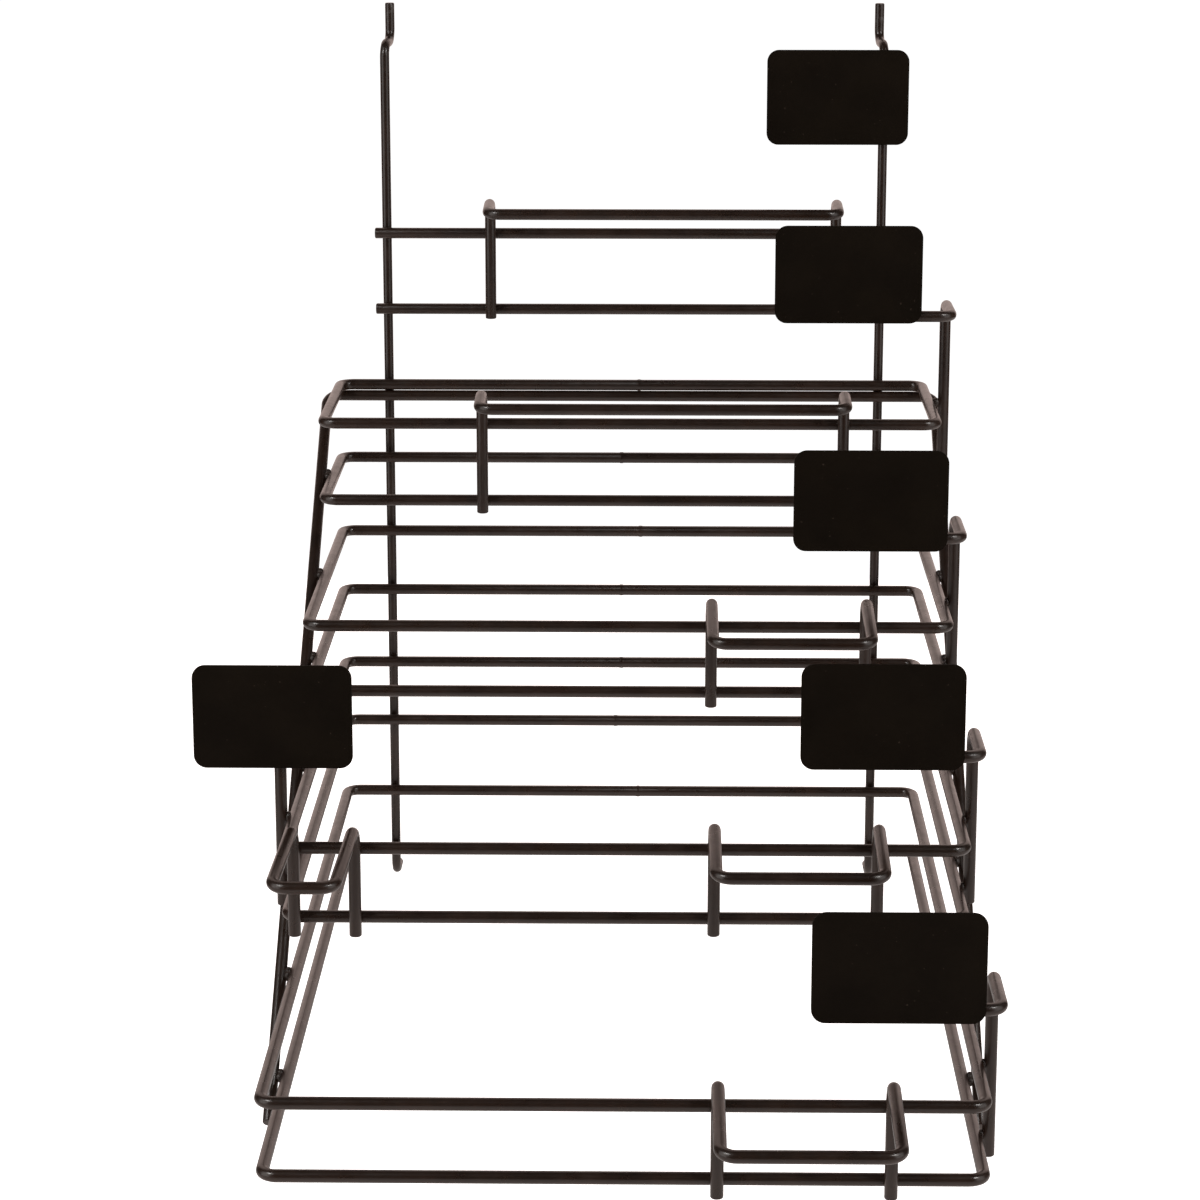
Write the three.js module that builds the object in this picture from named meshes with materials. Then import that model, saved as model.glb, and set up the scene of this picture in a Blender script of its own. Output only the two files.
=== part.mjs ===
// A five-tier hanging file rack of welded round wire, in millimetres, +Z up.
// X runs to the viewer's right, -Y towards the viewer, and Y = 0 is the face of the board it hangs on.
// The origin lies midway between the two hooks, at the height where they pass through the board.

import * as THREE from "three";

// Wire
const uprightDiameter = 4.76;
const cageDiameter = 5.56; // of every other wire
const weldGap = 0.25; // left between two wires that lie against each other
const bendRadius = 6.5; // of the centreline, at every bend
const bendSteps = 4;
const sectionSides = 8; // a multiple of four, so that the wire has its full size along its own axes

// Uprights, which hang on the board
const hookSpacing = 254;
const hookReach = 18.4; // from the upright back to the part of the hook behind the board
const hookRise = 19.5;
const hookLean = 1.6; // how far each hook leans towards the middle as it passes through the board
const pegDrop = 442; // from the hooks down to the pegs at the foot
const pegLength = 17;

// Tiers: heights of the two wires, and how far the front wire stands from the board
const tiers = [
  { name: "tier1", upper: -95.6, lower: -134.8 },
  { name: "tier2", upper: -174.5, lower: -213, front: 111 },
  { name: "tier3", upper: -252.3, lower: -284, front: 206.5 },
  { name: "tier4", upper: -323.5, lower: -355.5, front: 323.5 },
  { name: "tier5", upper: -394.6, lower: -427, front: 445 },
];
const hoopWidth = 301; // centreline to centreline
const crossWireLength = 263;
const cageShift = -1.3; // the welded tiers sit this far to the left of the uprights' middle

// Brace: one wire bent to a flat U that slopes from the back of tier 2 to the foot of tier 5
const braceWidth = 315;
const braceSlope = THREE.MathUtils.degToRad(37.3);
const braceRun = 344; // measured level, from the back wires forward

// Fences: a pocket of bent wire that stands in front of a tier's two wires.
// rise is above the upper wire, tail below the lower one, and over their reach the arms fall by drop
// and lean sideways by lean.
const wide = { centre: 16.3, width: 176.5, drop: 2.2, lean: 0 };
const narrow = { centre: 75.2, width: 72, drop: 6.5, lean: 0 };
const leftNarrow = { centre: -132.9, width: 27, drop: 6.5, lean: -3.3 };
const fences = [
  { ...wide, name: "tier1_fence", tier: 0, reach: 31, rise: 17, tail: 4 },
  { ...wide, name: "tier2_fence", tier: 1, reach: 31, rise: 16.5, tail: 5 },
  { ...narrow, name: "tier3_fence", tier: 2, reach: 56, rise: 14.7, tail: 5.5 },
  { ...narrow, name: "tier4_right_fence", tier: 3, reach: 55, rise: 13.7, tail: 6 },
  { ...leftNarrow, name: "tier4_left_fence", tier: 3, reach: 63, rise: 11.2, tail: 7 },
  { ...narrow, name: "tier5_fence", tier: 4, reach: 63, rise: 13.2, tail: 6 },
];

// Sign plates and the wires that hold them. A holder's leg stands outside the hoops' side wires, at x,
// leg in front of the board. It rises from foot to top, and reaches that far forward to its plate.
const plateWidth = 72;
const plateHeight = 48;
const plateThickness = 1;
const plateCorner = 6;
const holderInnerEnd = 90; // where the bar behind a right-hand plate ends
const holders = [
  { name: "tier2", x: 158.2, leg: 53.4, top: -124, foot: -208.5, reach: 39, plate: [107, -102.9] },
  { name: "tier3", x: 156.4, leg: 157.4, top: -211, foot: -287.5, reach: 42, plate: [113.2, -192.4] },
  { name: "tier4_right", x: 156.4, leg: 278.4, top: -281.2, foot: -363, reach: 42, plate: [112.7, -262.2] },
  { name: "tier5", x: 156.4, leg: 396.4, top: -354, foot: -436.5, reach: 43, plate: [113.3, -334.8] },
];
const leftHolder = {
  name: "tier4_left",
  x: -156.7,
  leg: 278.4,
  top: -262,
  foot: -365.5,
  plate: [-159.4, -275.3],
};
const topPlate = { name: "tier1", plate: [104.9, -26.2] };

// Depths and pitches that follow from the wire
const uprightRadius = uprightDiameter / 2;
const cageRadius = cageDiameter / 2;
const cagePitch = cageDiameter + weldGap;
const uprightY = -uprightRadius;
const backWireY = uprightY - uprightRadius - weldGap - cageRadius;

const coatedWire = new THREE.MeshStandardMaterial({ color: 0x2b241f, roughness: 0.42, metalness: 0.1 });
const coatedPlate = new THREE.MeshStandardMaterial({ color: 0x0c0b0a, roughness: 0.7, metalness: 0.1 });

// The centreline of a bent wire: straight runs between corners, with an arc at each corner.
// It gives its own stations, so a tube along it has a ring of points only where the wire needs one.
class BentWire extends THREE.Curve {
  constructor(corners, closed = false) {
    super();
    this.stations = [];
    const last = corners.length - 1;
    corners.forEach((corner, i) => {
      const isEnd = !closed && (i === 0 || i === last);
      const before = corners[i === 0 ? (closed ? last : 0) : i - 1];
      const after = corners[i === last ? (closed ? 0 : last) : i + 1];
      if (isEnd) {
        const along = new THREE.Vector3().subVectors(after, before).normalize();
        this.stations.push({ point: corner.clone(), tangent: along });
      } else {
        this.addBend(corner, before, after);
      }
    });
    if (closed) this.stations.push(this.stations[0]);
  }

  addBend(corner, before, after) {
    const arriving = new THREE.Vector3().subVectors(corner, before).normalize();
    const leaving = new THREE.Vector3().subVectors(after, corner).normalize();
    const turn = arriving.angleTo(leaving);
    const setback = bendRadius * Math.tan(turn / 2);
    const start = corner.clone().addScaledVector(arriving, -setback);
    const inward = leaving.clone().addScaledVector(arriving, -Math.cos(turn)).normalize();
    const centre = start.clone().addScaledVector(inward, bendRadius);
    for (let i = 0; i <= bendSteps; i++) {
      const angle = (turn * i) / bendSteps;
      const point = centre
        .clone()
        .addScaledVector(inward, -bendRadius * Math.cos(angle))
        .addScaledVector(arriving, bendRadius * Math.sin(angle));
      const tangent = arriving
        .clone()
        .multiplyScalar(Math.cos(angle))
        .addScaledVector(inward, Math.sin(angle));
      this.stations.push({ point, tangent });
    }
  }

  get steps() {
    return this.stations.length - 1;
  }

  getPointAt(u, target = new THREE.Vector3()) {
    return target.copy(this.stations[Math.round(u * this.steps)].point);
  }

  getTangentAt(u, target = new THREE.Vector3()) {
    return target.copy(this.stations[Math.round(u * this.steps)].tangent);
  }
}

const point = (x, y, z) => new THREE.Vector3(x, y, z);

function wireSection(radius) {
  const section = new THREE.Shape();
  for (let i = 0; i < sectionSides; i++) {
    const angle = (2 * Math.PI * i) / sectionSides;
    const corner = [radius * Math.cos(angle), radius * Math.sin(angle)];
    if (i === 0) section.moveTo(...corner);
    else section.lineTo(...corner);
  }
  section.closePath();
  return section;
}

function addWire(group, name, corners, radius = cageRadius) {
  const path = new BentWire(corners);
  const options = { extrudePath: path, steps: path.steps, bevelEnabled: false };
  const wire = new THREE.Mesh(new THREE.ExtrudeGeometry(wireSection(radius), options), coatedWire);
  wire.name = name;
  group.add(wire);
}

// A closed rectangle with rounded corners, in its own level plane.
function addHoop(group, name, frontY) {
  const side = hoopWidth / 2;
  const corners = [
    point(side, backWireY, 0),
    point(side, frontY, 0),
    point(-side, frontY, 0),
    point(-side, backWireY, 0),
  ];
  const path = new BentWire(corners, true);
  const ring = new THREE.TubeGeometry(path, path.steps, cageRadius, sectionSides, true);
  const hoop = new THREE.Mesh(ring, coatedWire);
  hoop.name = name;
  group.add(hoop);
}

// A rounded rectangle of sheet, standing upright and facing the viewer, with its back face at backY.
function addPlate(group, name, [x, z], backY) {
  const right = plateWidth / 2;
  const top = plateHeight / 2;
  const r = plateCorner;
  const outline = new THREE.Shape()
    .moveTo(right, -top + r)
    .lineTo(right, top - r)
    .absarc(right - r, top - r, r, 0, Math.PI / 2)
    .lineTo(-right + r, top)
    .absarc(-right + r, top - r, r, Math.PI / 2, Math.PI)
    .lineTo(-right, -top + r)
    .absarc(-right + r, -top + r, r, Math.PI, 1.5 * Math.PI)
    .lineTo(right - r, -top)
    .absarc(right - r, -top + r, r, 1.5 * Math.PI, 2 * Math.PI);
  const options = { depth: plateThickness, bevelEnabled: false, curveSegments: 5 };
  const plate = new THREE.Mesh(new THREE.ExtrudeGeometry(outline, options), coatedPlate);
  plate.name = name;
  plate.rotation.x = Math.PI / 2;
  plate.position.set(x, backY, z);
  group.add(plate);
}

// One wire: up behind the board, forward through it, down the front, and back into the board at the foot.
function addUpright(group, name, x) {
  const hookX = x - Math.sign(x) * hookLean;
  const hookY = uprightY + hookReach;
  const pegY = uprightY + pegLength;
  const corners = [
    point(hookX, hookY, hookRise),
    point(hookX, hookY, 0),
    point(x, uprightY, 0),
    point(x, uprightY, -pegDrop),
    point(x, pegY, -pegDrop),
  ];
  addWire(group, name, corners, uprightRadius);
}

function addBrace(group, name) {
  const side = braceWidth / 2;
  const length = braceRun / Math.cos(braceSlope);
  const frame = new THREE.Group();
  frame.position.set(0, backWireY, tiers[1].upper - cagePitch);
  frame.rotation.x = braceSlope;
  addWire(frame, name, [
    point(-side, -length, 0),
    point(-side, 0, 0),
    point(side, 0, 0),
    point(side, -length, 0),
  ]);
  group.add(frame);
}

// frontOf gives the depth of a tier's front wires, and the first tier has only its two cross wires.
const frontOf = (tier) => (tier.front ? -tier.front : backWireY);

function addFence(group, fence) {
  const tier = tiers[fence.tier];
  const left = fence.centre - fence.width / 2;
  const right = fence.centre + fence.width / 2;
  const legY = frontOf(tier) - cagePitch;
  const foot = tier.lower - tier.upper - fence.tail;
  const barY = legY - fence.reach;
  const barZ = fence.rise - fence.drop;
  addWire(group, fence.name, [
    point(left, legY, foot),
    point(left, legY, fence.rise),
    point(left + fence.lean, barY, barZ),
    point(right + fence.lean, barY, barZ),
    point(right, legY, fence.rise),
    point(right, legY, foot),
  ]);
}

// A right-hand holder rises beside the hoops, comes forward, and turns in behind its plate.
function addSign(group, holder) {
  const barY = -holder.leg - holder.reach;
  addWire(group, `${holder.name}_sign_holder`, [
    point(holder.x, -holder.leg, holder.foot),
    point(holder.x, -holder.leg, holder.top),
    point(holder.x, barY, holder.top),
    point(holderInnerEnd, barY, holder.top),
  ]);
  addPlate(group, `${holder.name}_sign_plate`, holder.plate, barY - cageRadius - weldGap);
}

// The left-hand holder is a straight wire, and its plate is fixed across its top.
function addLeftSign(group, holder) {
  addWire(group, `${holder.name}_sign_holder`, [
    point(holder.x, -holder.leg, holder.foot),
    point(holder.x, -holder.leg, holder.top),
  ]);
  addPlate(group, `${holder.name}_sign_plate`, holder.plate, -holder.leg - cageRadius - weldGap);
}

const rack = new THREE.Group();
const cage = new THREE.Group();
cage.position.x = cageShift;
rack.add(cage);
addUpright(rack, "left_upright", -hookSpacing / 2);
addUpright(rack, "right_upright", hookSpacing / 2);

tiers.forEach((tier, index) => {
  const upperLevel = new THREE.Group();
  const lowerLevel = new THREE.Group();
  upperLevel.position.z = tier.upper;
  lowerLevel.position.z = tier.lower;
  if (tier.front) {
    addHoop(upperLevel, `${tier.name}_upper_hoop`, -tier.front);
    addHoop(lowerLevel, `${tier.name}_lower_hoop`, -tier.front);
  } else {
    const ends = [-1, 1].map((hand) => point((hand * crossWireLength) / 2, backWireY, 0));
    addWire(upperLevel, `${tier.name}_upper_cross_wire`, ends);
    addWire(lowerLevel, `${tier.name}_lower_cross_wire`, ends);
  }
  fences
    .filter((fence) => fence.tier === index)
    .forEach((fence) => addFence(upperLevel, fence));
  cage.add(upperLevel, lowerLevel);
});

addBrace(cage, "sloping_brace");
holders.forEach((holder) => addSign(cage, holder));
addLeftSign(cage, leftHolder);
addPlate(cage, `${topPlate.name}_sign_plate`, topPlate.plate, uprightY - uprightRadius - weldGap);

export default rack;
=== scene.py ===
import math

import bmesh
import bpy
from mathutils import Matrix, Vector


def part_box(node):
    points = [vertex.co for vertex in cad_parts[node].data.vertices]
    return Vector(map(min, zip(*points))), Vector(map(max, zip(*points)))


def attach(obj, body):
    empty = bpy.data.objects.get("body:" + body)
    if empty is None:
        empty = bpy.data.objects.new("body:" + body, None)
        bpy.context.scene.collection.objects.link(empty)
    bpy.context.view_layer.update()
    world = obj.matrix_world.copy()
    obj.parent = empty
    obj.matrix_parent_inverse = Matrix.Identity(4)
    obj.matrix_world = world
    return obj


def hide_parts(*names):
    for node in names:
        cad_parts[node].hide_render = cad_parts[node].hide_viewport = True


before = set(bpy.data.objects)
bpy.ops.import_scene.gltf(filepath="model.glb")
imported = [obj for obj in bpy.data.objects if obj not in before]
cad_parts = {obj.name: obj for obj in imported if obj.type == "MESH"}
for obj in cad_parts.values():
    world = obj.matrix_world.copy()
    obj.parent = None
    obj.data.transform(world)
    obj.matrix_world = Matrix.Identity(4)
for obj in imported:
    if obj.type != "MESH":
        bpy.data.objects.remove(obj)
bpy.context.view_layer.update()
print("frame loaded:", len(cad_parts), "nodes")

tierNames = ["tier1", "tier2", "tier3", "tier4", "tier5"]
hoopTiers = tierNames[1:]
everyPiece = []

cameraView = {
    "place": (0.0103, -1.8049, 0.1636),
    "lookDown": 14.151,  # degrees below level
    "turn": 0.879,  # degrees to the left
    "lens": 105.6,
    "sensor": 36.0,
    "farthest": 200.0,
}

studio = {
    "floorHeight": -0.80,
    "floorSize": 60.0,
    "wallHeight": 40.0,
    "darkestPale": 0.88,
    "lightestPale": 0.92,
    "mottleSize": 3.0,  # patches of the floor's tone per metre
    "roughness": 0.9,
    "shine": 0.1,
    "glow": 1.0,
    "surround": 0.05,
    "surroundColour": (1.0, 0.985, 0.97),
    "softboxes": [
        # name, place, aimed at, width, height, brightness, colour
        ("backPanel", (0.0, 1.7, 0.65), (0.0, 0.0, 0.15), 3.6, 3.0, 0.93, (1.0, 0.78, 0.71)),
        ("floorBounce", (0.0, -0.2, -0.78), (0.0, -0.2, 0.0), 3.0, 3.0, 0.62, (1.0, 0.90, 0.86)),
        ("leftPanel", (-1.5, -1.0, 0.1), (0.0, -0.2, -0.2), 1.3, 1.6, 1.6, (1.0, 0.95, 0.92)),
        ("rightPanel", (1.5, -1.0, 0.1), (0.0, -0.2, -0.2), 1.3, 1.6, 1.3, (1.0, 0.95, 0.92)),
        ("leftStrobe", (-1.4, -1.3, 1.3), (0.0, -0.3, -0.2), 0.45, 0.45, 26.0, (1.0, 0.97, 0.95)),
        ("rightStrobe", (1.4, -1.3, 1.3), (0.0, -0.3, -0.2), 0.45, 0.45, 26.0, (1.0, 0.97, 0.95)),
    ],
}


def addCamera(view):
    data = bpy.data.cameras.new("studioCamera")
    data.lens = view["lens"]
    data.sensor_width = view["sensor"]
    data.clip_end = view["farthest"]
    camera = bpy.data.objects.new("studioCamera", data)
    camera.location = view["place"]
    camera.rotation_euler = (math.radians(90 - view["lookDown"]), 0.0, math.radians(view["turn"]))
    bpy.context.scene.collection.objects.link(camera)
    bpy.context.scene.camera = camera


def addSoftbox(name, place, aim, width, height, brightness, colour):
    data = bpy.data.lights.new(name, "AREA")
    data.shape = "RECTANGLE"
    data.size = width
    data.size_y = height
    data.energy = brightness * math.pi * width * height  # as bright at any size
    data.color = colour
    light = bpy.data.objects.new(name, data)
    light.visible_camera = False
    light.location = place
    light.rotation_euler = (Vector(aim) - Vector(place)).to_track_quat("-Z", "Y").to_euler()
    bpy.context.scene.collection.objects.link(light)


def paleMaterial():
    material = bpy.data.materials.new("paleStudio")
    material.use_nodes = True
    nodes = material.node_tree.nodes
    links = material.node_tree.links
    shader = nodes["Principled BSDF"]
    place = nodes.new("ShaderNodeTexCoord")
    mottle = nodes.new("ShaderNodeTexNoise")
    mottle.inputs["Scale"].default_value = studio["mottleSize"]
    tone = nodes.new("ShaderNodeValToRGB")
    for element, grey in zip(tone.color_ramp.elements, (studio["darkestPale"], studio["lightestPale"])):
        element.color = (grey, grey, grey, 1)
    links.new(place.outputs["Object"], mottle.inputs["Vector"])
    links.new(mottle.outputs["Fac"], tone.inputs["Fac"])
    links.new(tone.outputs["Color"], shader.inputs["Base Color"])
    shader.inputs["Roughness"].default_value = studio["roughness"]
    shader.inputs["Specular IOR Level"].default_value = studio["shine"]
    shader.inputs["Emission Color"].default_value = (1, 1, 1, 1)
    shader.inputs["Emission Strength"].default_value = studio["glow"]
    return material


def addStage(name, corners, faces, material):
    mesh = bpy.data.meshes.new(name)
    mesh.from_pydata(corners, [], faces)
    mesh.materials.append(material)
    stage = bpy.data.objects.new(name, mesh)
    stage.visible_glossy = False
    bpy.context.scene.collection.objects.link(stage)
    return stage


def addFloorAndWalls():
    half = studio["floorSize"] / 2
    low = studio["floorHeight"]
    high = low + studio["wallHeight"]
    pale = paleMaterial()
    plan = [(-half, -half), (half, -half), (half, half), (-half, half)]
    foot = [(x, y, low) for x, y in plan]
    addStage("studioFloor", foot, [(0, 1, 2, 3)], pale)
    # the far walls only close the view behind the floor's edge, and light nothing
    sides = [(i, (i + 1) % 4, (i + 1) % 4 + 4, i + 4) for i in range(4)]
    walls = addStage("studioWalls", foot + [(x, y, high) for x, y in plan], sides, pale)
    walls.visible_diffuse = False
    walls.visible_shadow = False


def setSurround():
    world = bpy.data.worlds.new("studioWorld")
    world.use_nodes = True
    background = world.node_tree.nodes["Background"]
    background.inputs["Color"].default_value = (*studio["surroundColour"], 1)
    background.inputs["Strength"].default_value = studio["surround"]
    bpy.context.scene.world = world
    bpy.context.scene.view_settings.view_transform = "Standard"


addCamera(cameraView)
for softbox in studio["softboxes"]:
    addSoftbox(*softbox)
addFloorAndWalls()
setSurround()
print("camera and studio ready")


# each Size is a noise's scale per metre, and each Range is the part of it that is stretched to the whole
wireCoatLook = {
    "dark": (0.0102, 0.0047, 0.0025),
    "warm": (0.0165, 0.0078, 0.0045),
    "mottleSize": 55.0,
    "mottleRange": (0.35, 0.65),
    "scuffed": (0.060, 0.053, 0.048),
    "scuffSize": 260.0,
    "scuffRange": (0.56, 0.70),
    "scuffMost": 0.8,
    "scuffHeights": (-0.006, 0.002),  # no scuffs below the first, all of them above the second
    "sheenSize": 140.0,
    "sheenRange": (0.3, 0.7),
    "smoothest": 0.26,
    "roughest": 0.36,
    "peelSize": 700.0,
    "peelDepth": 0.00006,
    "peelStrength": 0.30,
    "shine": 0.5,
    "topCoat": 0.12,
    "topCoatRoughness": 0.22,
}
weldCoatLook = {**wireCoatLook, "smoothest": 0.48, "roughest": 0.60, "peelStrength": 0.50}
plateCoatLook = {
    "dark": (0.0038, 0.0021, 0.0008),
    "warm": (0.0052, 0.0030, 0.0012),
    "mottleSize": 40.0,
    "mottleRange": (0.35, 0.65),
    "speck": (0.027, 0.019, 0.014),
    "speckSize": 620.0,
    "speckRange": (0.755, 0.80),
    "speckMost": 0.8,
    "sheenSize": 90.0,
    "sheenRange": (0.3, 0.7),
    "smoothest": 0.56,
    "roughest": 0.68,
    "grainSize": 1500.0,
    "grainDepth": 0.00005,
    "grainStrength": 0.5,
    "shine": 0.06,
}


class Shading:
    # a material with its node tree open for wiring
    def __init__(self, name):
        self.material = bpy.data.materials.new(name)
        self.material.use_nodes = True
        self.nodes = self.material.node_tree.nodes
        self.links = self.material.node_tree.links
        self.shader = self.nodes["Principled BSDF"]
        self.place = self.nodes.new("ShaderNodeTexCoord").outputs["Object"]

    def noise(self, scale, detail=3.0, roughness=0.55):
        node = self.nodes.new("ShaderNodeTexNoise")
        node.inputs["Scale"].default_value = scale
        node.inputs["Detail"].default_value = detail
        node.inputs["Roughness"].default_value = roughness
        self.links.new(self.place, node.inputs["Vector"])
        return node.outputs["Fac"]

    def height(self):
        node = self.nodes.new("ShaderNodeSeparateXYZ")
        self.links.new(self.place, node.inputs["Vector"])
        return node.outputs["Z"]

    def spread(self, value, limits, low=0.0, high=1.0):
        node = self.nodes.new("ShaderNodeMapRange")
        node.inputs["From Min"].default_value = limits[0]
        node.inputs["From Max"].default_value = limits[1]
        node.inputs["To Min"].default_value = low
        node.inputs["To Max"].default_value = high
        self.links.new(value, node.inputs["Value"])
        return node.outputs["Result"]

    def blend(self, amount, first, second):
        # each colour is a tuple or another node's output
        node = self.nodes.new("ShaderNodeMix")
        node.data_type = "RGBA"
        sockets = [s for s in node.inputs if s.type == "RGBA"]
        for socket, colour in zip(sockets, (first, second)):
            if isinstance(colour, tuple):
                socket.default_value = (*colour, 1)
            else:
                self.links.new(colour, socket)
        self.links.new(amount, node.inputs["Factor"])
        return next(s for s in node.outputs if s.type == "RGBA")

    def product(self, first, second):
        node = self.nodes.new("ShaderNodeMath")
        node.operation = "MULTIPLY"
        self.links.new(first, node.inputs[0])
        self.links.new(second, node.inputs[1])
        return node.outputs["Value"]

    def bump(self, height, distance, strength):
        node = self.nodes.new("ShaderNodeBump")
        node.inputs["Distance"].default_value = distance
        node.inputs["Strength"].default_value = strength
        self.links.new(height, node.inputs["Height"])
        self.links.new(node.outputs["Normal"], self.shader.inputs["Normal"])

    def mottledColour(self, look):
        mottle = self.spread(self.noise(look["mottleSize"]), look["mottleRange"])
        return self.blend(mottle, look["dark"], look["warm"])

    def unevenSheen(self, look):
        noise = self.noise(look["sheenSize"])
        sheen = self.spread(noise, look["sheenRange"], look["smoothest"], look["roughest"])
        self.links.new(sheen, self.shader.inputs["Roughness"])
        self.shader.inputs["Specular IOR Level"].default_value = look["shine"]


def wireCoat(name, look):
    coat = Shading(name)
    colour = coat.mottledColour(look)
    # the coat is rubbed in patches on the hooks, which slide in the board's holes
    onHooks = coat.spread(coat.height(), look["scuffHeights"])
    scuffs = coat.noise(look["scuffSize"], detail=4.0, roughness=0.6)
    patches = coat.spread(scuffs, look["scuffRange"], high=look["scuffMost"])
    rubbed = coat.blend(coat.product(onHooks, patches), colour, look["scuffed"])
    coat.links.new(rubbed, coat.shader.inputs["Base Color"])
    coat.unevenSheen(look)
    peel = coat.noise(look["peelSize"], detail=2.0, roughness=0.5)
    coat.bump(peel, look["peelDepth"], look["peelStrength"])
    coat.shader.inputs["Coat Weight"].default_value = look["topCoat"]
    coat.shader.inputs["Coat Roughness"].default_value = look["topCoatRoughness"]
    return coat.material


def plateCoat(name, look):
    coat = Shading(name)
    colour = coat.mottledColour(look)
    dust = coat.noise(look["speckSize"], detail=1.0, roughness=0.4)
    specks = coat.spread(dust, look["speckRange"], high=look["speckMost"])
    coat.links.new(coat.blend(specks, colour, look["speck"]), coat.shader.inputs["Base Color"])
    coat.unevenSheen(look)
    grain = coat.noise(look["grainSize"], detail=2.0, roughness=0.6)
    coat.bump(grain, look["grainDepth"], look["grainStrength"])
    return coat.material


satinCoat = wireCoat("satinWireCoat", wireCoatLook)
weldCoat = wireCoat("coatOverWelds", weldCoatLook)
matteCoat = plateCoat("mattePlateCoat", plateCoatLook)
print("coatings ready")


wire = {
    "uprightDiameter": 0.00476,
    "cageDiameter": 0.00556,  # of every other wire
    "gap": 0.00025,  # between two wires that lie against each other
    "bendRadius": 0.0065,
    "bendSteps": 9,
    "sides": 20,
    "pinch": 0.975,  # the share of the radius left in the middle of a bend
    # each step in from a cut end, and the share of the radius that it has
    "endRound": [(0.0, 0.80), (0.00012, 0.90), (0.00032, 0.97), (0.0006, 1.0)],
}
uprightRadius = wire["uprightDiameter"] / 2
cageRadius = wire["cageDiameter"] / 2
cagePitch = wire["cageDiameter"] + wire["gap"]
routeAttributes = ("swell", "across", "girth", "reach")  # they guide the trees and don't stay on a piece


def newTree(name, numbers):
    # numbers: (socket name, socket type, value)
    tree = bpy.data.node_groups.new(name, "GeometryNodeTree")
    tree.interface.new_socket("Geometry", in_out="INPUT", socket_type="NodeSocketGeometry")
    for label, kind, value in numbers:
        socket = tree.interface.new_socket(label, in_out="INPUT", socket_type=kind)
        socket.default_value = value
    tree.interface.new_socket("Coating", in_out="INPUT", socket_type="NodeSocketMaterial")
    tree.interface.new_socket("Geometry", in_out="OUTPUT", socket_type="NodeSocketGeometry")
    start = tree.nodes.new("NodeGroupInput")
    return tree, start


def named(tree, name, kind):
    node = tree.nodes.new("GeometryNodeInputNamedAttribute")
    node.data_type = kind
    node.inputs["Name"].default_value = name
    return next(s for s in node.outputs if s.enabled and s.name == "Attribute")


def endTree(tree, start, geometry):
    # every tree ends in Realize Instances and Set Material
    smooth = tree.nodes.new("GeometryNodeSetShadeSmooth")
    realize = tree.nodes.new("GeometryNodeRealizeInstances")
    paint = tree.nodes.new("GeometryNodeSetMaterial")
    end = tree.nodes.new("NodeGroupOutput")
    tree.links.new(geometry, smooth.inputs["Geometry"])
    tree.links.new(smooth.outputs["Geometry"], realize.inputs["Geometry"])
    tree.links.new(realize.outputs["Geometry"], paint.inputs["Geometry"])
    tree.links.new(start.outputs["Coating"], paint.inputs["Material"])
    tree.links.new(paint.outputs["Geometry"], end.inputs["Geometry"])


def grown(mesh, name, tree, inputs):
    # runs the tree on the mesh with these inputs and keeps the result as a plain mesh
    source = bpy.data.objects.new(name + "Route", mesh)
    bpy.context.scene.collection.objects.link(source)
    modifier = source.modifiers.new("grow", "NODES")
    modifier.node_group = tree
    for item in tree.interface.items_tree:
        if item.in_out == "INPUT" and item.name in inputs:
            modifier[item.identifier] = inputs[item.name]
    bpy.context.view_layer.update()
    depsgraph = bpy.context.evaluated_depsgraph_get()
    result = bpy.data.meshes.new_from_object(source.evaluated_get(depsgraph))
    result.name = name
    source.modifiers.remove(modifier)
    bpy.data.objects.remove(source)
    for label in routeAttributes:
        if label in result.attributes:
            result.attributes.remove(result.attributes[label])
    return result


def addPiece(name, mesh, slotName, *nodes):
    piece = bpy.data.objects.new(name, mesh)
    bpy.context.scene.collection.objects.link(piece)
    if nodes:
        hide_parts(*nodes)
    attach(piece, "root")
    everyPiece.append(piece)


def wireTree():
    # a round wire along the route, as thick at each point as its "swell" says
    tree, start = newTree("roundWireAlongRoute", [
        ("Wire Radius", "NodeSocketFloat", cageRadius),
        ("Sides", "NodeSocketInt", wire["sides"]),
    ])
    route = tree.nodes.new("GeometryNodeMeshToCurve")
    section = tree.nodes.new("GeometryNodeCurvePrimitiveCircle")
    sweep = tree.nodes.new("GeometryNodeCurveToMesh")
    sweep.inputs["Fill Caps"].default_value = True
    tree.links.new(start.outputs["Geometry"], route.inputs["Mesh"])
    tree.links.new(start.outputs["Sides"], section.inputs["Resolution"])
    tree.links.new(start.outputs["Wire Radius"], section.inputs["Radius"])
    tree.links.new(route.outputs["Curve"], sweep.inputs["Curve"])
    tree.links.new(section.outputs["Curve"], sweep.inputs["Profile Curve"])
    tree.links.new(named(tree, "swell", "FLOAT"), sweep.inputs["Scale"])
    endTree(tree, start, sweep.outputs["Mesh"])
    return tree


roundWire = wireTree()


def bendStations(corner, before, after):
    # places round a bend, each with its share of the wire's radius
    arriving = (corner - before).normalized()
    leaving = (after - corner).normalized()
    turn = arriving.angle(leaving)
    radius = wire["bendRadius"]
    start = corner - arriving * radius * math.tan(turn / 2)
    inward = (leaving - arriving * math.cos(turn)).normalized()
    centre = start + inward * radius
    stations = []
    for step in range(wire["bendSteps"] + 1):
        share = step / wire["bendSteps"]
        angle = turn * share
        place = centre - inward * radius * math.cos(angle) + arriving * radius * math.sin(angle)
        narrowing = (1 - wire["pinch"]) * math.sin(math.pi * share)
        stations.append((place, 1 - narrowing))
    return stations


def endStations(tip, inner):
    # the cut end, its edge softened by the coat
    along = (inner - tip).normalized()
    return [(tip + along * distance, swell) for distance, swell in wire["endRound"]]


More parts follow.
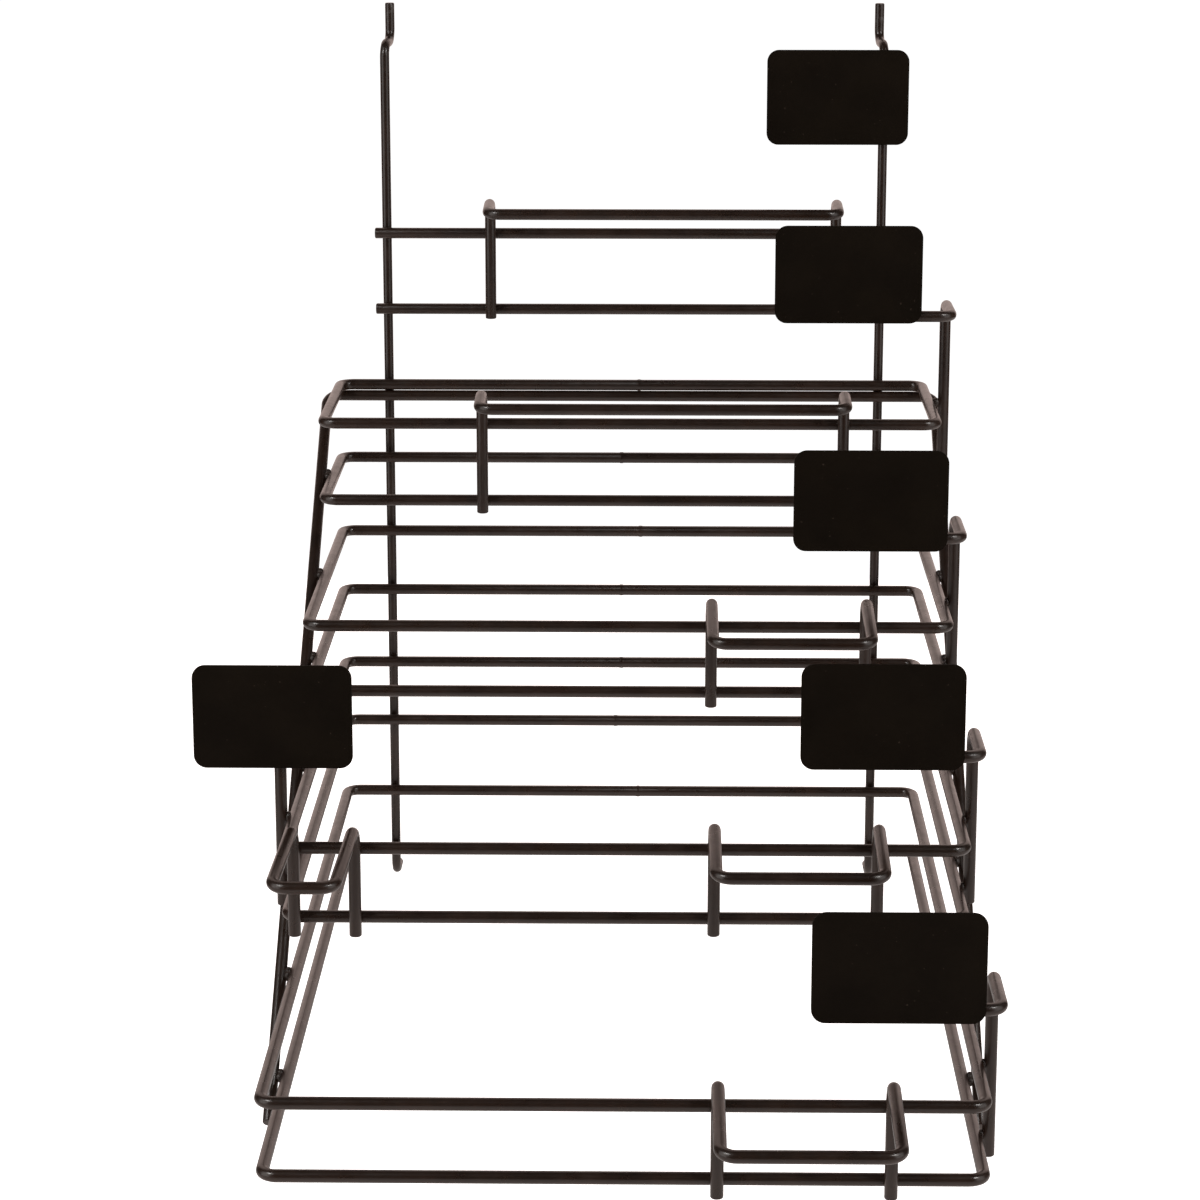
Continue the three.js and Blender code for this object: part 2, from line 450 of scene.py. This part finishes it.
def routeStations(corners, closed):
    stations = []
    count = len(corners)
    for i, corner in enumerate(corners):
        if not closed and i == 0:
            stations += endStations(corner, corners[1])
        elif not closed and i == count - 1:
            stations += reversed(endStations(corner, corners[-2]))
        else:
            stations += bendStations(corner, corners[i - 1], corners[(i + 1) % count])
    return stations


def wireMesh(name, stations, closed, radius):
    mesh = bpy.data.meshes.new(name + "Route")
    places, swells = zip(*stations)
    count = len(stations)
    edges = [(i, i + 1) for i in range(count - 1)]
    if closed:
        edges.append((count - 1, 0))
    mesh.from_pydata(places, edges, [])
    swell = mesh.attributes.new("swell", "FLOAT", "POINT")
    swell.data.foreach_set("value", swells)
    return grown(mesh, name, roundWire, {"Wire Radius": radius, "Coating": satinCoat})


def addWire(node, corners, radius=cageRadius):
    stations = routeStations([Vector(corner) for corner in corners], False)
    name = node + "_wire"
    addPiece(name, wireMesh(name, stations, False, radius), "wire", node)


upright = {"pegLength": 0.017}


def uprightLines(node):
    # the centreline's x, and the x of its hook, which leans inwards
    low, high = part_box(node)
    if low.x < 0:
        return low.x + uprightRadius, high.x - uprightRadius
    return high.x - uprightRadius, low.x + uprightRadius


def addUpright(node):
    low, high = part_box(node)
    x, hookX = uprightLines(node)
    frontY = low.y + uprightRadius
    hookY = high.y - uprightRadius
    footZ = low.z + uprightRadius
    corners = [
        (hookX, hookY, high.z),
        (hookX, hookY, 0),
        (x, frontY, 0),
        (x, frontY, footZ),
        (x, frontY + upright["pegLength"], footZ),
    ]
    addWire(node, corners, uprightRadius)


def addStraight(node):
    # a straight wire along the longer side of its box
    low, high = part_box(node)
    middle = (low + high) / 2
    size = high - low
    if size.x > size.z:
        addWire(node, [(low.x, middle.y, middle.z), (high.x, middle.y, middle.z)])
    else:
        addWire(node, [(middle.x, middle.y, low.z), (middle.x, middle.y, high.z)])


addUpright("left_upright")
addUpright("right_upright")
addStraight("tier1_upper_cross_wire")
addStraight("tier1_lower_cross_wire")
print("uprights and cross wires ready")


buttWeld = {"swell": 1.07, "halfWidth": 0.0011, "crownShare": 0.55}
buttWeldPlaces = {
    "tier2_upper_hoop": 0.003,
    "tier2_lower_hoop": -0.006,
    "tier3_upper_hoop": 0.004,
    "tier3_lower_hoop": -0.006,
    "tier4_upper_hoop": -0.006,
    "tier4_lower_hoop": -0.009,
    "tier5_upper_hoop": 0.003,
    "tier5_lower_hoop": -0.004,
}


def buttWeldStations(x, y, z):
    # a faint ring on a back wire, where the two ends of the hoop meet
    half = buttWeld["halfWidth"]
    crown = buttWeld["crownShare"] * half
    swell = buttWeld["swell"]
    profile = [(-half, 1.0), (-crown, swell), (crown, swell), (half, 1.0)]
    return [(Vector((x + shift, y, z)), share) for shift, share in profile]


def hoopLines(node):
    # where the centrelines of a hoop's sides run, and their height
    low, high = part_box(node)
    return {
        "left": low.x + cageRadius,
        "right": high.x - cageRadius,
        "front": low.y + cageRadius,
        "back": high.y - cageRadius,
        "z": (low.z + high.z) / 2,
    }


def addHoop(node):
    hoop = hoopLines(node)
    corners = [
        Vector((hoop["right"], hoop["back"], hoop["z"])),
        Vector((hoop["right"], hoop["front"], hoop["z"])),
        Vector((hoop["left"], hoop["front"], hoop["z"])),
        Vector((hoop["left"], hoop["back"], hoop["z"])),
    ]
    stations = routeStations(corners, True)
    stations += buttWeldStations(buttWeldPlaces[node], hoop["back"], hoop["z"])
    name = node + "_wire"
    addPiece(name, wireMesh(name, stations, True, cageRadius), "wire", node)


for tierName in hoopTiers:
    for level in ("upper", "lower"):
        addHoop(f"{tierName}_{level}_hoop")
print("hoops ready")


brace = {"slope": math.radians(37.3), "run": 0.344}


def braceLines():
    # the brace's left, right and back, and the height of its level back run
    low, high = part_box("sloping_brace")
    hoop = hoopLines("tier2_upper_hoop")
    return low.x + cageRadius, high.x - cageRadius, hoop["back"], hoop["z"] - cagePitch


def addBrace():
    left, right, back, top = braceLines()
    front = back - brace["run"]
    foot = top - brace["run"] * math.tan(brace["slope"])
    addWire("sloping_brace", [
        (left, front, foot),
        (left, back, top),
        (right, back, top),
        (right, front, foot),
    ])


addBrace()
print("brace ready")


# width is between the two legs; the front bar is lower than the arms' backs by the drop
# and moved sideways by the lean; the rise is above the tier's upper wire
wideFence = {"centre": 0.0150, "width": 0.1765, "drop": 0.0022, "lean": 0.0}
narrowFence = {"centre": 0.0739, "width": 0.072, "drop": 0.0065, "lean": 0.0}
leftFence = {"centre": -0.1342, "width": 0.0270, "drop": 0.0065, "lean": -0.0033}
fences = {
    "tier1_fence": {**wideFence, "tier": "tier1", "rise": 0.0170},
    "tier2_fence": {**wideFence, "tier": "tier2", "rise": 0.0165},
    "tier3_fence": {**narrowFence, "tier": "tier3", "rise": 0.0147},
    "tier4_right_fence": {**narrowFence, "tier": "tier4", "rise": 0.0137},
    "tier4_left_fence": {**leftFence, "tier": "tier4", "rise": 0.0112},
    "tier5_fence": {**narrowFence, "tier": "tier5", "rise": 0.0132},
}


def tierHeights(tierName):
    # the heights of a tier's upper and lower wires
    kind = "cross_wire" if tierName == "tier1" else "hoop"
    boxes = [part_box(f"{tierName}_{level}_{kind}") for level in ("upper", "lower")]
    return [(low.z + high.z) / 2 for low, high in boxes]


def fenceLegs(fence):
    return fence["centre"] - fence["width"] / 2, fence["centre"] + fence["width"] / 2


def addFence(node, fence):
    low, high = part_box(node)
    legY = high.y - cageRadius
    barY = low.y + cageRadius
    left, right = fenceLegs(fence)
    top = tierHeights(fence["tier"])[0] + fence["rise"]
    barZ = top - fence["drop"]
    lean = fence["lean"]
    addWire(node, [
        (left, legY, low.z),
        (left, legY, top),
        (left + lean, barY, barZ),
        (right + lean, barY, barZ),
        (right, legY, top),
        (right, legY, low.z),
    ])


for node, fence in fences.items():
    addFence(node, fence)
print("fences ready")


rightHolders = ["tier2", "tier3", "tier4_right", "tier5"]
leftHolder = "tier4_left"
signs = ["tier1", *rightHolders, leftHolder]
plate = {"corner": 0.006, "cornerSteps": 12, "edge": 0.0003, "edgeSteps": 3}


def addRightHolder(sign):
    node = sign + "_sign_holder"
    low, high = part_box(node)
    legX = high.x - cageRadius
    legY = high.y - cageRadius
    barY = low.y + cageRadius
    barZ = high.z - cageRadius
    addWire(node, [(legX, legY, low.z), (legX, legY, barZ), (legX, barY, barZ), (low.x, barY, barZ)])


def plateOutline(low, high):
    # a rounded rectangle, anticlockwise as seen from the front
    radius = plate["corner"]
    arcs = [
        (high.x - radius, low.z + radius, -90),
        (high.x - radius, high.z - radius, 0),
        (low.x + radius, high.z - radius, 90),
        (low.x + radius, low.z + radius, 180),
    ]
    outline = []
    for x, z, start in arcs:
        for step in range(plate["cornerSteps"] + 1):
            angle = math.radians(start + 90 * step / plate["cornerSteps"])
            outline.append((x + radius * math.cos(angle), z + radius * math.sin(angle)))
    return outline


def addPlate(sign):
    node = sign + "_sign_plate"
    low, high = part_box(node)
    shape = bmesh.new()
    outline = plateOutline(low, high)
    front = [shape.verts.new((x, low.y, z)) for x, z in outline]
    back = [shape.verts.new((x, high.y, z)) for x, z in outline]
    shape.faces.new(front)
    shape.faces.new(list(reversed(back)))
    count = len(outline)
    for i in range(count):
        j = (i + 1) % count
        shape.faces.new((front[j], front[i], back[i], back[j]))
    # a rim edge lies wholly in the front or the back face
    rims = [edge for edge in shape.edges if edge.verts[0].co.y == edge.verts[1].co.y]
    bmesh.ops.bevel(
        shape,
        geom=rims,
        offset=plate["edge"],
        segments=plate["edgeSteps"],
        profile=0.5,  # round
        affect="EDGES",
    )
    bmesh.ops.recalc_face_normals(shape, faces=shape.faces)
    for face in shape.faces:
        face.smooth = len(face.verts) == 4
    name = node + "_sheet"
    mesh = bpy.data.meshes.new(name)
    shape.to_mesh(mesh)
    shape.free()
    mesh.materials.append(matteCoat)
    addPiece(name, mesh, "sign_plate", node)


for sign in rightHolders:
    addRightHolder(sign)
addStraight(leftHolder + "_sign_holder")
for sign in signs:
    addPlate(sign)
print("signs ready")


weld = {
    "crossGirth": 0.0020,
    "crossReach": 0.0014,
    "sideGirth": 0.0023,
    "sideBite": 0.0013,  # how far a side weld sinks into each of its two wires
    "braceBeads": 2,  # in a row along the hoop, forward from each crossing of the brace
    "braceBeadPitch": 0.0024,
    "plateGirth": 0.0019,
    "plateReach": 0.0009,
    "plateShare": 0.28,  # of the plate's width or height, from its middle to a weld
    "nearShare": 0.25,  # of that, for the weld near the end of a holder's bar
    "seed": 7,
    "lumpHeight": 0.00028,
    "lumpsPerMetre": 620.0,
    "ballSubdivisions": 3,
    "girthSpread": {"X": (0.88, 1.18), "Y": (0.86, 1.06)},
}
alongX = Vector((1, 0, 0))
alongY = Vector((0, 1, 0))
weldSpots = []


def mathNode(tree, operation, first, second):
    node = tree.nodes.new("ShaderNodeMath")
    node.operation = operation
    for socket, value in zip(node.inputs, (first, second)):
        if isinstance(value, float):
            socket.default_value = value
        else:
            tree.links.new(value, socket)
    return node.outputs["Value"]


def randomBetween(tree, low, high, seed):
    node = tree.nodes.new("FunctionNodeRandomValue")
    node.data_type = "FLOAT"
    for socket in node.inputs:
        if socket.enabled and socket.name in ("Min", "Max"):
            socket.default_value = low if socket.name == "Min" else high
    tree.links.new(seed, node.inputs["Seed"])
    return next(s for s in node.outputs if s.enabled)


def weldTree():
    # a lump of metal at each point, "girth" wide and reaching along the point's own "across"
    tree, start = newTree("weldBeads", [
        ("Seed", "NodeSocketInt", weld["seed"]),
        ("Lump Height", "NodeSocketFloat", weld["lumpHeight"]),
        ("Lumps Per Metre", "NodeSocketFloat", weld["lumpsPerMetre"]),
    ])
    ball = tree.nodes.new("GeometryNodeMeshIcoSphere")
    ball.inputs["Radius"].default_value = 1.0
    ball.inputs["Subdivisions"].default_value = weld["ballSubdivisions"]
    align = tree.nodes.new("FunctionNodeAlignRotationToVector")
    align.axis = "Z"
    tree.links.new(named(tree, "across", "FLOAT_VECTOR"), align.inputs["Vector"])
    girth = named(tree, "girth", "FLOAT")
    size = tree.nodes.new("ShaderNodeCombineXYZ")
    for axis, (low, high) in weld["girthSpread"].items():
        vary = randomBetween(tree, low, high, start.outputs["Seed"])
        tree.links.new(mathNode(tree, "MULTIPLY", girth, vary), size.inputs[axis])
    tree.links.new(named(tree, "reach", "FLOAT"), size.inputs["Z"])
    place = tree.nodes.new("GeometryNodeInstanceOnPoints")
    tree.links.new(start.outputs["Geometry"], place.inputs["Points"])
    tree.links.new(ball.outputs["Mesh"], place.inputs["Instance"])
    tree.links.new(align.outputs["Rotation"], place.inputs["Rotation"])
    tree.links.new(size.outputs["Vector"], place.inputs["Scale"])
    solid = tree.nodes.new("GeometryNodeRealizeInstances")
    tree.links.new(place.outputs["Instances"], solid.inputs["Geometry"])
    # uneven surface: each point moves along its normal by a share of the lump height
    where = tree.nodes.new("GeometryNodeInputPosition")
    lumps = tree.nodes.new("ShaderNodeTexNoise")
    tree.links.new(where.outputs["Position"], lumps.inputs["Vector"])
    tree.links.new(start.outputs["Lumps Per Metre"], lumps.inputs["Scale"])
    centred = mathNode(tree, "SUBTRACT", lumps.outputs["Fac"], 0.5)
    height = mathNode(tree, "MULTIPLY", centred, start.outputs["Lump Height"])
    normal = tree.nodes.new("GeometryNodeInputNormal")
    offset = tree.nodes.new("ShaderNodeVectorMath")
    offset.operation = "SCALE"
    tree.links.new(normal.outputs["Normal"], offset.inputs["Vector"])
    tree.links.new(height, offset.inputs["Scale"])
    move = tree.nodes.new("GeometryNodeSetPosition")
    tree.links.new(solid.outputs["Geometry"], move.inputs["Geometry"])
    tree.links.new(offset.outputs["Vector"], move.inputs["Offset"])
    endTree(tree, start, move.outputs["Geometry"])
    return tree


def addWeldSpot(place, across, girth, reach):
    weldSpots.append({"place": place, "across": across, "girth": girth, "reach": reach})


def crossWeld(x, y, z):
    addWeldSpot((x, y, z), alongY, weld["crossGirth"], weld["crossReach"])


def sideWeld(hoopX, wireX, y, z):
    # between two cage wires that run side by side, as far apart as they are
    gap = abs(hoopX - wireX) - wire["cageDiameter"]
    addWeldSpot(((hoopX + wireX) / 2, y, z), alongX, weld["sideGirth"], gap / 2 + weld["sideBite"])


def weldUprights():
    for tierName in tierNames:
        for z in tierHeights(tierName):
            for node in ("left_upright", "right_upright"):
                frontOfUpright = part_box(node)[0].y
                crossWeld(uprightLines(node)[0], frontOfUpright - wire["gap"] / 2, z)


def weldFences():
    for node, fence in fences.items():
        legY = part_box(node)[1].y - cageRadius
        for x in fenceLegs(fence):
            for z in tierHeights(fence["tier"]):
                crossWeld(x, legY + cagePitch / 2, z)


def weldBrace():
    left, right, back, top = braceLines()
    steepness = math.tan(brace["slope"])
    for tierName in hoopTiers:
        for level in ("upper", "lower"):
            hoop = hoopLines(f"{tierName}_{level}_hoop")
            fall = top - hoop["z"]
            if not 0 < fall < brace["run"] * steepness:
                continue
            for bead in range(weld["braceBeads"]):
                forward = bead * weld["braceBeadPitch"]
                beadY = back - fall / steepness - forward
                beadZ = hoop["z"] - forward * steepness / 2
                sideWeld(hoop["left"], left, beadY, beadZ)
                sideWeld(hoop["right"], right, beadY, beadZ)


def weldHolders():
    for sign in rightHolders + [leftHolder]:
        low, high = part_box(sign + "_sign_holder")
        tierName = sign.split("_")[0]
        legY = high.y - cageRadius
        for level in ("upper", "lower"):
            hoop = hoopLines(f"{tierName}_{level}_hoop")
            if sign == leftHolder:
                sideWeld(hoop["left"], low.x + cageRadius, legY, hoop["z"])
            else:
                sideWeld(hoop["right"], high.x - cageRadius, legY, hoop["z"])


def plateWeldSpots(sign, low, high):
    # x and z of the two welds behind a plate
    middle = (low + high) / 2
    if sign in rightHolders:
        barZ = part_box(sign + "_sign_holder")[1].z - cageRadius
        shift = (high.x - low.x) * weld["plateShare"]
        return [(middle.x - shift * weld["nearShare"], barZ), (middle.x + shift, barZ)]
    if sign == "tier1":
        x = uprightLines("right_upright")[0]
        legTop = 0  # the upright bends back at the height of the hooks
    else:
        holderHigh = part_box(sign + "_sign_holder")[1]
        x = holderHigh.x - cageRadius
        legTop = holderHigh.z
    shift = (high.z - low.z) * weld["plateShare"]
    return [(x, middle.z - shift), (x, min(middle.z + shift, legTop - wire["cageDiameter"]))]


def weldPlates():
    for sign in signs:
        low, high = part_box(sign + "_sign_plate")
        y = high.y + wire["gap"] / 2
        for x, z in plateWeldSpots(sign, low, high):
            addWeldSpot((x, y, z), alongY, weld["plateGirth"], weld["plateReach"])


def addWelds():
    mesh = bpy.data.meshes.new("weldPoints")
    mesh.from_pydata([spot["place"] for spot in weldSpots], [], [])
    across = mesh.attributes.new("across", "FLOAT_VECTOR", "POINT")
    across.data.foreach_set("vector", [part for spot in weldSpots for part in spot["across"]])
    for label in ("girth", "reach"):
        values = mesh.attributes.new(label, "FLOAT", "POINT")
        values.data.foreach_set("value", [spot[label] for spot in weldSpots])
    addPiece("weld_beads", grown(mesh, "weld_beads", weldTree(), {"Coating": weldCoat}), "wire")


weldUprights()
weldFences()
weldBrace()
weldHolders()
weldPlates()
addWelds()
print("welds ready:", len(weldSpots))

bpy.context.view_layer.update()
triangles = sum(len(face.vertices) - 2 for piece in everyPiece for face in piece.data.polygons)
print("pieces:", len(everyPiece), "triangles:", triangles)
